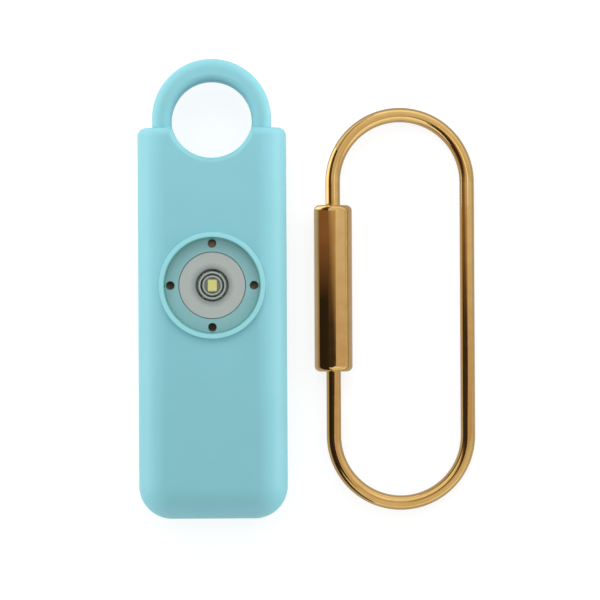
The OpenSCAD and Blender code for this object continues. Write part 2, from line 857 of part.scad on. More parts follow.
// Raised rim, let into the front face, with a spigot that holds the sound plate down
module siren_rim() {
    shoulder_z = body_t + rim_h - rim_edge_r;
    color(AQUA)
        rotate_extrude() {
            polygon([
                [rim_inner_r - rim_draft, plate_top],
                [spigot_r, plate_top],
                [spigot_r, rim_foot_z],
                [rim_outer_r, rim_foot_z],
                [rim_outer_r, shoulder_z],
                [rim_inner_r, shoulder_z],
            ]);
            translate([rim_inner_r + rim_edge_r, shoulder_z])
                square([rim_w - 2 * rim_edge_r, rim_edge_r]);
            translate([rim_outer_r - rim_edge_r, shoulder_z])
                quarter_disc(rim_edge_r);
            translate([rim_inner_r + rim_edge_r, shoulder_z])
                mirror([1, 0])
                    quarter_disc(rim_edge_r);
        }
}

// Disc with the sound holes, on the ledge of the opening
module sound_plate() {
    color(AQUA_GREY)
        translate([0, 0, plate_back])
            linear_extrude(plate_t)
                difference() {
                    circle(spigot_r);
                    circle(diffuser_r + diffuser_gap);
                    for (i = [0 : port_count - 1])
                        rotate(i * 360 / port_count)
                            translate([port_circle_r, 0])
                                circle(port_r);
                }
}

// Frosted ring of the light: a face that rounds in to the lens, a flange behind the plate, and a skirt
module diffuser() {
    flange_back = plate_back - diffuser_flange_t;
    edge_foot = plate_top - diffuser_edge_r;
    color(FROSTED)
        rotate_extrude() {
            translate([lens_hole_r + diffuser_edge_r, plate_back])
                square([diffuser_r - lens_hole_r - diffuser_edge_r, plate_t]);
            translate([lens_hole_r, plate_back])
                square([diffuser_edge_r, edge_foot - plate_back]);
            translate([lens_hole_r + diffuser_edge_r, edge_foot])
                mirror([1, 0])
                    quarter_disc(diffuser_edge_r);
            translate([lens_hole_r, flange_back])
                square([diffuser_r + diffuser_flange_w - lens_hole_r, diffuser_flange_t]);
            translate([diffuser_r - diffuser_skirt_t, light_top])
                square([diffuser_skirt_t, flange_back - light_top]);
        }
}

// Flat clear lens with a bevelled edge, on the reflector's edge
module led_lens() {
    color(CLEAR)
        translate([0, 0, reflector_top])
            rotate_extrude()
                polygon([
                    [0, 0],
                    [lens_r, 0],
                    [lens_r, lens_t - lens_bevel],
                    [lens_r - lens_bevel, lens_t],
                    [0, lens_t],
                ]);
}

// Bright stepped cup around the LED
module reflector() {
    step_z = (light_top + led_h + reflector_top) / 2;
    color(BRIGHT)
        rotate_extrude()
            polygon([
                [led_hole_r, light_top],
                [lens_r, light_top],
                [lens_r, reflector_top],
                [lens_r - reflector_lip, reflector_top],
                [reflector_step_r, step_z],
                [reflector_step_r - reflector_step_w, step_z],
                [reflector_floor_r, light_top + led_h],
                [led_hole_r, light_top + led_h],
            ]);
}

// Box on the light board, centred under the siren axis
module led_block(w, l, z0, h) {
    translate([-w / 2, -l / 2, z0])
        cube([w, l, h]);
}

// LED package with a pocket for the phosphor
module led_body() {
    color("white")
        difference() {
            led_block(led_w, led_l, light_top, led_h);
            led_block(phosphor_w, phosphor_l, light_top + led_h - phosphor_t, phosphor_t + bite);
        }
}

// Yellow phosphor that fills the pocket
module led_phosphor() {
    color("#d8d878")
        led_block(phosphor_w, phosphor_l, light_top + led_h - phosphor_t, phosphor_t);
}

// Round board under the LED
module light_board() {
    color("white")
        translate([0, 0, light_back])
            cylinder(r = diffuser_r, h = light_board_t);
}

// Brass disc of the siren, on the seat of the chamber
module piezo_diaphragm() {
    color(BRASS)
        translate([0, 0, diaphragm_back])
            cylinder(r = piezo_r, h = piezo_t);
}

// Ceramic disc on the back of the diaphragm
module piezo_ceramic() {
    color("#e4ded0")
        translate([0, 0, ceramic_back])
            cylinder(r = ceramic_r, h = ceramic_t);
}

// Lead that leaves one flat face, turns back in a half loop and lies on the face below it
module lead_loop(z0, z1) {
    loop_r = (z1 - z0) / 2 - lead_r;
    translate([0, 0, (z0 + z1) / 2])
        rotate([90, 0, 0]) {
            rotate(90)
                rotate_extrude(angle = 180)
                    translate([loop_r, 0])
                        circle(lead_r);
            for (side = [-1, 1])
                translate([0, side * loop_r, 0])
                    rotate([0, 90, 0])
                        cylinder(r = lead_r, h = lead_tail);
        }
}

// Leads from the ceramic and from the brass rim down to the main board
module piezo_leads() {
    color("#b03028") {
        translate(ceramic_tap)
            lead_loop(board_top, ceramic_back);
        rotate(brass_lead_turn)
            translate([-brass_tap_r, 0])
                rotate(90)
                    lead_loop(board_top, diaphragm_back);
    }
}

// Leads from the light board, through a notch of the chamber, down to the main board
module light_leads() {
    run_z = light_back - lead_r;
    start_y = diffuser_r - lead_pad_in;
    bend_y = lip_r + bite;
    color("#404448")
        rotate(light_lead_turn)
            for (side = [-1, 1])
                translate([side * lead_pitch / 2, 0, 0]) {
                    translate([0, bend_y, run_z])
                        rotate([90, 0, 0])
                            cylinder(r = lead_r, h = bend_y - start_y);
                    translate([0, bend_y, run_z - lead_bend_r])
                        rotate([0, -90, 0])
                            rotate_extrude(angle = 90)
                                translate([lead_bend_r, 0])
                                    circle(lead_r);
                    translate([0, bend_y + lead_bend_r, board_top])
                        cylinder(r = lead_r, h = run_z - lead_bend_r - board_top);
                }
}

// Main circuit board, notched around the bosses and tongued between the sockets
module main_board() {
    color(BOARD)
        translate([0, 0, board_back])
            linear_extrude(board_t)
                difference() {
                    union() {
                        translate([-board_half_w, corner_y])
                            square([2 * board_half_w, board_shoulder_y - corner_y]);
                        translate([-board_tongue_w / 2, board_shoulder_y - bite])
                            square([board_tongue_w, board_tongue_y - board_shoulder_y + bite]);
                        translate([-board_tail_w / 2, board_end_y])
                            square([board_tail_w, corner_y - board_end_y + bite]);
                    }
                    for (at = SCREWS)
                        translate(at)
                            circle(boss_nose_r + screw_fit);
                }
}

// Box that stands on the main board, centred on a place
module on_board(at, size) {
    translate([at.x - size.x / 2, at.y - size.y / 2, board_top])
        cube(size);
}

// Eight-legged controller, with a mark at its first leg
module controller_chip() {
    leg_x0 = (chip_w + chip_leg_l) / 2;
    color(BLACK)
        difference() {
            on_board(chip_at, [chip_w, chip_l, chip_h]);
            translate([chip_at.x - chip_w / 2 + chip_mark_in, chip_at.y + chip_l / 2 - chip_mark_in,
                board_top + chip_h - chip_mark_depth])
                cylinder(r = chip_mark_r, h = chip_mark_depth + bite);
        }
    color(STEEL)
        for (side = [-1, 1], i = [-1.5 : 1.5])
            on_board([chip_at.x + side * leg_x0, chip_at.y + i * chip_leg_pitch],
                [chip_leg_l, chip_leg_w, leg_t]);
}

// Transistor that drives the coil, with its tab and three legs
module driver_transistor() {
    leg_y = (drive_l + drive_leg_l) / 2;
    color(BLACK)
        on_board(drive_at, [drive_w, drive_l, drive_h]);
    color(STEEL) {
        on_board([drive_at.x, drive_at.y + leg_y], [drive_tab_w, drive_leg_l, leg_t]);
        for (i = [-1 : 1])
            on_board([drive_at.x + i * drive_leg_pitch, drive_at.y - leg_y],
                [drive_leg_w, drive_leg_l, leg_t]);
    }
}

// Ferrite drum of the step-up coil
module coil_core() {
    color("#3a3c40")
        translate([-pocket_x, beside_battery(coil_r), board_top])
            rotate_extrude()
                polygon([
                    [0, 0],
                    [coil_r, 0],
                    [coil_r, coil_flange_t],
                    [coil_waist_r, coil_flange_t],
                    [coil_waist_r, pocket_h - coil_flange_t],
                    [coil_r, pocket_h - coil_flange_t],
                    [coil_r, pocket_h],
                    [0, pocket_h],
                ]);
}

// Copper winding in the drum's waist
module coil_winding() {
    color("#b06a38")
        translate([-pocket_x, beside_battery(coil_r), board_top])
            tube(coil_waist_r, coil_r - winding_in, coil_flange_t, pocket_h - coil_flange_t);
}

// Upright capacitor with a crimped neck over its foot
module storage_capacitor() {
    color("#4a5a6a")
        translate([pocket_x, beside_battery(cap_r), board_top])
            rotate_extrude()
                polygon([
                    [0, 0],
                    [cap_r, 0],
                    [cap_r, cap_foot_h],
                    [cap_r - cap_crimp, cap_foot_h + cap_crimp],
                    [cap_r, cap_foot_h + 2 * cap_crimp],
                    [cap_r, pocket_h - cap_crimp],
                    [cap_r - cap_crimp, pocket_h],
                    [0, pocket_h],
                ]);
}

// Row of small resistors
module chip_resistors() {
    color(BLACK)
        for (i = [-1.5 : 1.5])
            on_board([i * resistor_pitch, resistor_y], [resistor_w, resistor_l, resistor_h]);
}

// Open ring around the cells, slotted for the strap
module battery_holder() {
    base_t = contact_h - clip_gap;
    strap_slot_w = clip_w + 2 * contact_t;
    color(BLACK)
        translate([0, cell_y, board_top])
            difference() {
                rotate_extrude() {
                    translate([holder_in_r, 0])
                        square([holder_wall, cell_top - holder_drop - board_top]);
                    translate([holder_base_in_r, 0])
                        square([holder_base_w + bite, base_t]);
                }
                translate([-2 * holder_out_r, -strap_slot_w / 2, base_t])
                    cube([4 * holder_out_r, strap_slot_w, cell_top - board_top]);
            }
}

// Coin cell with its stepped negative cap at the bottom
module coin_cell(foot) {
    color(STEEL)
        translate([0, cell_y, foot])
            rotate_extrude()
                polygon([
                    [0, 0],
                    [cell_r - cell_crimp - cell_step, 0],
                    [cell_r - cell_crimp, cell_step],
                    [cell_r - cell_step, cell_step],
                    [cell_r, 2 * cell_step],
                    [cell_r, cell_h],
                    [0, cell_h],
                ]);
}

module lower_cell() {
    coin_cell(cell_foot);
}

module upper_cell() {
    coin_cell(cell_foot + cell_h);
}

// Dished spring disc under the cells
module lower_contact() {
    color(STEEL)
        translate([0, cell_y, board_top])
            rotate_extrude()
                polygon([
                    [contact_rest_r - contact_band, contact_h - contact_t],
                    [contact_rest_r, contact_h - contact_t],
                    [contact_foot_r - contact_band, 0],
                    [contact_foot_r, 0],
                    [contact_foot_r, contact_t],
                    [contact_foot_r - contact_band, contact_t],
                    [contact_rest_r, contact_h],
                    [contact_rest_r - contact_band, contact_h],
                ]);
}

// Strap over the cells, down both sides of the holder, with feet on the board
module upper_contact() {
    leg_in = holder_out_r + clip_gap;
    leg_out = leg_in + contact_t;
    color(STEEL)
        translate([0, cell_y, 0]) {
            translate([-leg_out, -clip_w / 2, cell_top])
                cube([2 * leg_out, clip_w, contact_t]);
            for (side = [0, 1])
                mirror([side, 0, 0]) {
                    translate([leg_in, -clip_w / 2, board_top])
                        cube([contact_t, clip_w, cell_top - board_top]);
                    translate([leg_out, -clip_w / 2, board_top])
                        cube([clip_foot, clip_w, contact_t]);
                }
        }
}

// Switch housing on the main board, open towards the tenon
module switch_body() {
    color(BLACK)
        difference() {
            translate([leg_x - switch_half_w, switch_end_y, board_top])
                cube([2 * switch_half_w, switch_top_y - switch_end_y, mid_z + switch_half_w - board_top]);
            translate([leg_x, 0, mid_z]) {
                translate([0, spring_foot_y, 0])
                    around_y()
                        square([chamber_in_r, switch_top_y - neck_t - spring_foot_y]);
                translate([0, switch_top_y - neck_t - bite, 0])
                    around_y()
                        square([plunger_r + plunger_fit, neck_t + 2 * bite]);
            }
        }
}

// Plunger with a collar, pressed down by the end of the tenon
module switch_plunger() {
    stem_len = plunger_tip_y - collar_top_y;
    color("#d0d4d6")
        translate([leg_x, collar_top_y, mid_z])
            around_y() {
                square([plunger_r, stem_len]);
                translate([0, -collar_t])
                    square([collar_r, collar_t]);
            }
}

// Wire spring under the collar, as one tube wound on a helix
module switch_spring() {
    r = (plunger_r + collar_r) / 2 - spring_wire_r;
    rise = spring_len - 2 * (spring_wire_r + touch);
    rings = spring_turns * spring_steps;
    start_y = spring_foot_y + spring_wire_r + touch;
    points = [for (i = [0 : rings], s = [0 : spring_sides - 1])
        let (turn = 360 * i / spring_steps, a = 360 * s / spring_sides, rr = r + spring_wire_r * cos(a))
        [rr * cos(turn), start_y + rise * i / rings + spring_wire_r * sin(a), rr * sin(turn)]];
    sides = [for (i = [0 : rings - 1], s = [0 : spring_sides - 1])
        let (a = i * spring_sides + s, b = i * spring_sides + (s + 1) % spring_sides)
        each [[a, b, b + spring_sides], [a, b + spring_sides, a + spring_sides]]];
    foot_end = [for (s = [1 : spring_sides - 2]) [0, s + 1, s]];
    last = rings * spring_sides;
    head_end = [for (s = [1 : spring_sides - 2]) [last, last + s, last + s + 1]];
    color(STEEL)
        translate([leg_x, 0, mid_z])
            polyhedron(points, concat(sides, foot_end, head_end));
}

// Places what belongs to the key ring: the sleeve's axis is the origin, the far wire lies at +X
module ring_place() {
    translate([sleeve_x, -ring_shift, sleeve_r])
        rotate([0, ring_tilt, 0])
            children();
}

// Straight run of round wire along Y
module wire_run(x, y0, y1, r) {
    along_y(y0, y1)
        translate([x, 0])
            circle(r);
}

// Long brass loop, open inside the sleeve
module ring_wire() {
    color(BRASS)
        ring_place() {
            for (end = [0, 1])
                mirror([0, end, 0])
                    translate([bend_r, ring_straight / 2, 0])
                        rotate_extrude(angle = 180)
                            translate([bend_r, 0])
                                circle(wire_r);
            wire_run(ring_span, -ring_straight / 2, ring_straight / 2, wire_r);
            wire_run(0, sleeve_top_y, ring_straight / 2, wire_r);
            wire_run(0, sleeve_top_y - thread_engaged, sleeve_top_y, thread_core_r);
            wire_run(0, -ring_straight / 2, stop_top_y, wire_r);
        }
}

// Stop crimped on the lower wire end, which keeps the sleeve on the ring
module wire_stop() {
    color(BRASS)
        ring_place()
            translate([0, stop_foot_y, 0])
                around_y()
                    translate([wire_r, 0])
                        square([stop_r - wire_r, stop_len]);
}

// Brass sleeve, threaded at its upper end and bored wider below
module lock_sleeve() {
    thread_r = wire_r + wire_fit;
    color(BRASS)
        ring_place()
            translate([0, sleeve_foot_y, 0])
                around_y()
                    difference() {
                        union() {
                            square([sleeve_r - sleeve_edge_r, sleeve_len]);
                            translate([sleeve_r - sleeve_edge_r, sleeve_edge_r])
                                square([sleeve_edge_r, sleeve_len - 2 * sleeve_edge_r]);
                            translate([sleeve_r - sleeve_edge_r, sleeve_len - sleeve_edge_r])
                                quarter_disc(sleeve_edge_r);
                            translate([sleeve_r - sleeve_edge_r, sleeve_edge_r])
                                mirror([0, 1])
                                    quarter_disc(sleeve_edge_r);
                        }
                        translate([0, -bite])
                            square([thread_r, sleeve_len + 2 * bite]);
                        translate([0, -bite])
                            square([bore_r, sleeve_len - thread_len + bite]);
                    }
}

// Bush pressed into the lower end of the sleeve, around the wire
module sleeve_bush() {
    color(BRASS)
        ring_place()
            translate([0, sleeve_foot_y, 0])
                around_y()
                    translate([wire_r + wire_fit, 0])
                        square([bore_r - wire_r - wire_fit, bush_len]);
}

front_shell();
rear_shell();
case_screws();
pull_bow();
siren_rim();
sound_plate();
diffuser();
led_lens();
reflector();
led_body();
led_phosphor();
light_board();
piezo_diaphragm();
piezo_ceramic();
piezo_leads();
light_leads();
main_board();
controller_chip();
driver_transistor();
coil_core();
coil_winding();
storage_capacitor();
chip_resistors();
battery_holder();
lower_cell();
upper_cell();
lower_contact();
upper_contact();
switch_body();
switch_spring();
switch_plunger();
ring_wire();
wire_stop();
lock_sleeve();
sleeve_bush();
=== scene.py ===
"""Personal safety alarm with a pull-out bow, and a brass screw-lock key ring beside it, on a pale studio floor."""

import json
import math

import bmesh
import bpy
from mathutils import Euler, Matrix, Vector


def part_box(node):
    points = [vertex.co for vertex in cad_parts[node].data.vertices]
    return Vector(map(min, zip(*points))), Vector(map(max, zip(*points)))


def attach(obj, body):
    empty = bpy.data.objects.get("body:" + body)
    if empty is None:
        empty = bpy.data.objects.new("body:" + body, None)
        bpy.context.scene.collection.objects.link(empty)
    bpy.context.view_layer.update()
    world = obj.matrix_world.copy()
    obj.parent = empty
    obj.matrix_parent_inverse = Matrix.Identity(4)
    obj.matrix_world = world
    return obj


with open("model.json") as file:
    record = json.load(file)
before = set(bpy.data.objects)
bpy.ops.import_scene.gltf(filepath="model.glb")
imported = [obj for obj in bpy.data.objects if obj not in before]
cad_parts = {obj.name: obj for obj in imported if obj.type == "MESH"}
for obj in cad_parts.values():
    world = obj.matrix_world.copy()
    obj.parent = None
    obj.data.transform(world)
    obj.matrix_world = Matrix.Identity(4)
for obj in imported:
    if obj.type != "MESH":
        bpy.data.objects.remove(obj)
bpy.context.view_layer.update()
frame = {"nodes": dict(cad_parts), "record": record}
nodes = frame["nodes"]

MM = 0.001


def linear(hex_colour):
    """Linear RGBA of an sRGB hex colour."""
    parts = [int(hex_colour[i:i + 2], 16) / 255 for i in (1, 3, 5)]
    return [c / 12.92 if c <= 0.04045 else ((c + 0.055) / 1.055) ** 2.4 for c in parts] + [1]


def per_mm(size):
    """Texture scale at which one feature is this many millimetres across."""
    return 1 / (size * MM)


def add(tree, kind, settings, inputs):
    """Adds a node, sets its settings, and fills its inputs with values or links."""
    made = tree.nodes.new(kind)
    for name, value in settings.items():
        setattr(made, name, value)
    for name, value in inputs.items():
        if isinstance(value, bpy.types.NodeSocket):
            tree.links.new(value, made.inputs[name])
        else:
            made.inputs[name].default_value = value
    return made


def start(name):
    """New material with an empty tree, and the object's own coordinates."""
    material = bpy.data.materials.new(name)
    material.use_nodes = True
    tree = material.node_tree
    tree.nodes.clear()
    place = add(tree, "ShaderNodeTexCoord", {}, {}).outputs["Object"]
    return material, tree, place


def off_axis(tree, place):
    """Distance from the siren's axis."""
    axes = add(tree, "ShaderNodeSeparateXYZ", {}, {0: place}).outputs
    flat = add(tree, "ShaderNodeCombineXYZ", {}, {0: axes[0], 1: axes[1]}).outputs[0]
    return add(tree, "ShaderNodeVectorMath", {"operation": "LENGTH"}, {0: flat}).outputs["Value"]


def upward(tree):
    """How far a surface faces up: one for a floor, nothing for a wall."""
    normal = add(tree, "ShaderNodeNewGeometry", {}, {}).outputs["Normal"]
    return add(tree, "ShaderNodeSeparateXYZ", {}, {0: normal}).outputs[2]


def surface(name, low, high, patch, grain, depth, rough, **sockets):
    """Material whose colour drifts between two tones in patches, with a fine grain in its surface.
    patch, grain and depth are in millimetres; rough is its least and greatest roughness."""
    material, tree, place = start(name)
    drift = add(tree, "ShaderNodeTexNoise", {}, {"Vector": place, "Scale": per_mm(patch), "Detail": 3}).outputs[0]
    fine = add(tree, "ShaderNodeTexNoise", {}, {"Vector": place, "Scale": per_mm(grain), "Detail": 2}).outputs[0]
    relief = add(tree, "ShaderNodeBump", {}, {"Height": fine, "Distance": depth * MM, "Strength": 1})
    shader = add(tree, "ShaderNodeBsdfPrincipled", {}, {
        "Base Color": add(tree, "ShaderNodeMix", {"data_type": "RGBA"},
                          {0: drift, 6: linear(low), 7: linear(high)}).outputs[2],
        "Roughness": add(tree, "ShaderNodeMapRange", {},
                         {"Value": fine, "To Min": rough[0], "To Max": rough[1]}).outputs[0],
        "Normal": relief.outputs[0],
        **{words.replace("_", " "): value for words, value in sockets.items()},
    })
    add(tree, "ShaderNodeOutputMaterial", {}, {"Surface": shader.outputs[0]})
    return material


# ABS with a soft-touch coat, moulded in a spark-eroded tool: an even satin with a fine dry grain, and pale
# where the light grazes it. The grain is 0.1 mm in the real coat, and drawn at 0.3 mm so that it shows.
soft_touch_abs = surface("soft_touch_abs", "#7fc1cb", "#85c7d1", 9, 0.3, 0.004, (0.52, 0.62),
                         Sheen_Weight=0.06, Sheen_Roughness=0.4)
# The plate's ABS, without a coat: greyer and closer to gloss than the housing.
bare_abs = surface("bare_abs", "#86bbbf", "#8ec2c5", 5, 0.3, 0.003, (0.36, 0.46))
# Polycarbonate from a polished tool: clear, with the hard reflection of a lens.
clear_polycarbonate = surface("clear_polycarbonate", "#f6fbfa", "#ffffff", 3, 0.5, 0.0004, (0.02, 0.05),
                              Transmission_Weight=1.0, IOR=1.58)
# Filled white resin of the LED's package, moulded and slightly shiny.
white_resin = surface("white_resin", "#dcdcd4", "#e8e8e2", 1, 0.15, 0.002, (0.35, 0.45))
# Silicone with phosphor powder: a dry yellow, with a little emission as a painted glow.
phosphor_silicone_painted_glow = surface("phosphor_silicone_painted_glow", "#dcd86c", "#ece894", 0.8, 0.12, 0.004, (0.3, 0.45),
                            Emission_Color=linear("#eae690"), Emission_Strength=0.5)
# White solder mask, printed and cured: smooth, with slight pooling.
white_mask = surface("white_mask", "#dfe2df", "#eceeec", 3, 0.4, 0.003, (0.25, 0.4))
# Piezo ceramic with a fired silver electrode: pale, dull and finely mottled.
fired_silver = surface("fired_silver", "#cfc8b8", "#e2ddd0", 0.8, 0.15, 0.004, (0.4, 0.6), Metallic=0.4)
# PVC insulation, extruded over stranded wire: a soft shine with long faint waves.
red_pvc = surface("red_pvc", "#9c2620", "#b4302a", 2, 0.3, 0.004, (0.35, 0.45))
black_pvc = surface("black_pvc", "#1c1d1f", "#2a2c2e", 2, 0.3, 0.004, (0.35, 0.45))
# Moulded epoxy of chips, with the dry matt of its filler.
moulded_epoxy = surface("moulded_epoxy", "#17181a", "#232426", 1, 0.1, 0.004, (0.55, 0.7))
# Sintered ferrite: dark grey with a ground, slightly sparkling grain.
sintered_ferrite = surface("sintered_ferrite", "#232427", "#36383b", 0.4, 0.12, 0.006, (0.4, 0.6), Metallic=0.2)
# Glass-filled nylon, moulded: black with the dry streaks of its fibres.
black_nylon = surface("black_nylon", "#141516", "#202123", 2, 0.2, 0.005, (0.45, 0.6))
# Unfilled nylon of the plunger, moulded: white, with a waxy sheen.
white_nylon = surface("white_nylon", "#d2d5d5", "#dfe2e2", 2, 0.2, 0.004, (0.4, 0.5))
# Zinc-plated steel: a cool grey with the faint cloudiness of the bath.
zinc_plate = surface("zinc_plate", "#a2a6ab", "#b8bcc0", 0.8, 0.15, 0.004, (0.3, 0.45), Metallic=1.0)
# Nickel-plated spring strip and wire, rolled and formed: a warm bright grey with a slight grain.
nickel_strip = surface("nickel_strip", "#b3b3ae", "#c6c6c1", 1.5, 0.15, 0.003, (0.22, 0.34), Metallic=1.0)


def polished_abs():
    """The rim's ABS, from a polished tool: lighter and shinier than the housing. Its inner wall is painted a deeper
    green as painted shade where the wall meets the plate, fading out from 10.15 to 10.45 mm off the siren's axis."""
    material, tree, place = start("polished_abs")
    out = off_axis(tree, place)
    # Painted shade: the inner wall gets a deeper green, which fades to the rim's own colour from 10.15 to 10.45 mm off
    # the axis
    painted_light = add(tree, "ShaderNodeMapRange", {},
                {"Value": out, "From Min": 10.15 * MM, "From Max": 10.45 * MM}).outputs[0]
    drift = add(tree, "ShaderNodeTexNoise", {}, {"Vector": place, "Scale": per_mm(6), "Detail": 3}).outputs[0]
    body = add(tree, "ShaderNodeMix", {"data_type": "RGBA"},
               {0: drift, 6: linear("#a9f3fb"), 7: linear("#aff6fe")}).outputs[2]
    colour = add(tree, "ShaderNodeMix", {"data_type": "RGBA"}, {0: painted_light, 6: linear("#68bab5"), 7: body}).outputs[2]
    fine = add(tree, "ShaderNodeTexNoise", {}, {"Vector": place, "Scale": per_mm(0.4), "Detail": 2}).outputs[0]
    relief = add(tree, "ShaderNodeBump", {}, {"Height": fine, "Distance": 0.0015 * MM, "Strength": 1})
    shader = add(tree, "ShaderNodeBsdfPrincipled", {}, {
        "Base Color": colour,
        "Roughness": add(tree, "ShaderNodeMapRange", {},
                         {"Value": fine, "To Min": 0.14, "To Max": 0.22}).outputs[0],
        "Normal": relief.outputs[0],
    })
    add(tree, "ShaderNodeOutputMaterial", {}, {"Surface": shader.outputs[0]})
    return material


def polished_brass():
    """Brass rod, turned and drawn, then buffed and lacquered: deep gold, near-mirror, with hairlines and pinholes
    left by the buffing wheel. The hairlines are drawn 0.15 mm wide so that they show."""
    material, tree, place = start("polished_brass")
    along = add(tree, "ShaderNodeMapping", {}, {"Vector": place, "Scale": (1, 0.06, 1)}).outputs[0]
    hair = add(tree, "ShaderNodeTexNoise", {}, {"Vector": along, "Scale": per_mm(0.15), "Detail": 3}).outputs[0]
    cloud = add(tree, "ShaderNodeTexNoise", {}, {"Vector": place, "Scale": per_mm(2.5), "Detail": 3}).outputs[0]
    pits = add(tree, "ShaderNodeTexVoronoi", {}, {"Vector": place, "Scale": per_mm(1.6)}).outputs[0]
    pit = add(tree, "ShaderNodeMapRange", {}, {"Value": pits, "From Min": 0.0, "From Max": 0.09}).outputs[0]
    hair_relief = add(tree, "ShaderNodeBump", {}, {"Height": hair, "Distance": 0.0012 * MM, "Strength": 1})
    relief = add(tree, "ShaderNodeBump", {}, {"Height": pit, "Distance": 0.006 * MM, "Strength": 1,
                                              "Normal": hair_relief.outputs[0]})
    shader = add(tree, "ShaderNodeBsdfPrincipled", {}, {
        "Base Color": add(tree, "ShaderNodeMix", {"data_type": "RGBA"},
                          {0: cloud, 6: linear("#e4b76c"), 7: linear("#f6ce88")}).outputs[2],
        "Metallic": 1.0,
        "Roughness": add(tree, "ShaderNodeMapRange", {},
                         {"Value": cloud, "To Min": 0.07, "To Max": 0.13}).outputs[0],
        "Normal": relief.outputs[0],
        "Coat Weight": 0.6,
        "Coat Roughness": 0.04,
    })
    add(tree, "ShaderNodeOutputMaterial", {}, {"Surface": shader.outputs[0]})
    return material


def frosted_polycarbonate():
    """Polycarbonate from a blasted tool: light goes in and comes back soft, without a sharp highlight. Towards the
    lens its colour is painted darker as painted shade, and a thin line at the edge of its hole is painted darkest."""
    material, tree, place = start("frosted_polycarbonate")
    out = off_axis(tree, place)
    cloud = add(tree, "ShaderNodeTexNoise", {}, {"Vector": place, "Scale": per_mm(1.2), "Detail": 3}).outputs[0]
    # Painted shade: darker towards the lens hole over a ragged reach, and darkest in a thin line at the hole's edge
    edge = add(tree, "ShaderNodeMapRange", {}, {"Value": cloud, "To Min": 4.6 * MM, "To Max": 5.6 * MM}).outputs[0]
    painted_light = add(tree, "ShaderNodeMapRange", {"interpolation_type": "SMOOTHSTEP"},
                {"Value": out, "From Min": 3.3 * MM, "From Max": edge}).outputs[0]
    hole_edge_shade = add(tree, "ShaderNodeMapRange", {}, {"Value": out, "From Min": 3.45 * MM, "From Max": 3.6 * MM}).outputs[0]
    body = add(tree, "ShaderNodeMix", {"data_type": "RGBA"},
               {0: painted_light, 6: linear("#8a9390"), 7: linear("#b3bbb7")}).outputs[2]
    colour = add(tree, "ShaderNodeMix", {"data_type": "RGBA"}, {0: hole_edge_shade, 6: linear("#4a5450"), 7: body}).outputs[2]
    fine = add(tree, "ShaderNodeTexNoise", {}, {"Vector": place, "Scale": per_mm(0.25), "Detail": 2}).outputs[0]
    relief = add(tree, "ShaderNodeBump", {}, {"Height": fine, "Distance": 0.004 * MM, "Strength": 1})
    shader = add(tree, "ShaderNodeBsdfPrincipled", {}, {
        "Base Color": colour,
        "Roughness": add(tree, "ShaderNodeMapRange", {},
                         {"Value": fine, "To Min": 0.5, "To Max": 0.62}).outputs[0],
        "Normal": relief.outputs[0],
        "Subsurface Weight": 0.2,
        "Subsurface Radius": [MM, MM, MM],
    })
    add(tree, "ShaderNodeOutputMaterial", {}, {"Surface": shader.outputs[0]})
    return material


def metallised_plastic():
    """Plastic under evaporated aluminium. Faces that look up, the steps and the floor, are painted bright as painted
    highlight, and the steep walls are painted dark as painted shade."""
    material, tree, place = start("metallised_plastic")
    # Painted light: faces that look up are coloured bright and the walls dark
    painted_light = add(tree, "ShaderNodeMapRange", {}, {"Value": upward(tree), "From Min": 0.6, "From Max": 0.95}).outputs[0]
    waves = add(tree, "ShaderNodeTexNoise", {}, {"Vector": place, "Scale": per_mm(0.5), "Detail": 2}).outputs[0]
    relief = add(tree, "ShaderNodeBump", {}, {"Height": waves, "Distance": 0.01 * MM, "Strength": 1})
    shader = add(tree, "ShaderNodeBsdfPrincipled", {}, {
        "Base Color": add(tree, "ShaderNodeMix", {"data_type": "RGBA"},
                          {0: painted_light, 6: linear("#55635f"), 7: linear("#dcecf6")}).outputs[2],
        "Metallic": 1.0,
        "Roughness": add(tree, "ShaderNodeMapRange", {},
                         {"Value": waves, "To Min": 0.1, "To Max": 0.2}).outputs[0],
        "Normal": relief.outputs[0],
    })
    add(tree, "ShaderNodeOutputMaterial", {}, {"Surface": shader.outputs[0]})
    return material


def rolled_brass():
    """Brass sheet of the siren disc, as rolled: a warm dull gold with straight roll marks."""
    material, tree, place = start("rolled_brass")
    along = add(tree, "ShaderNodeMapping", {}, {"Vector": place, "Scale": (0.05, 1, 1)}).outputs[0]
    marks = add(tree, "ShaderNodeTexNoise", {}, {"Vector": along, "Scale": per_mm(0.2), "Detail": 4}).outputs[0]
    relief = add(tree, "ShaderNodeBump", {}, {"Height": marks, "Distance": 0.004 * MM, "Strength": 1})
    shader = add(tree, "ShaderNodeBsdfPrincipled", {}, {
        "Base Color": add(tree, "ShaderNodeMix", {"data_type": "RGBA"},
                          {0: marks, 6: linear("#b8ae9c"), 7: linear("#cbc2b0")}).outputs[2],
        "Metallic": 1.0,
        "Roughness": add(tree, "ShaderNodeMapRange", {},
                         {"Value": marks, "To Min": 0.28, "To Max": 0.42}).outputs[0],
        "Normal": relief.outputs[0],
    })
    add(tree, "ShaderNodeOutputMaterial", {}, {"Surface": shader.outputs[0]})
    return material


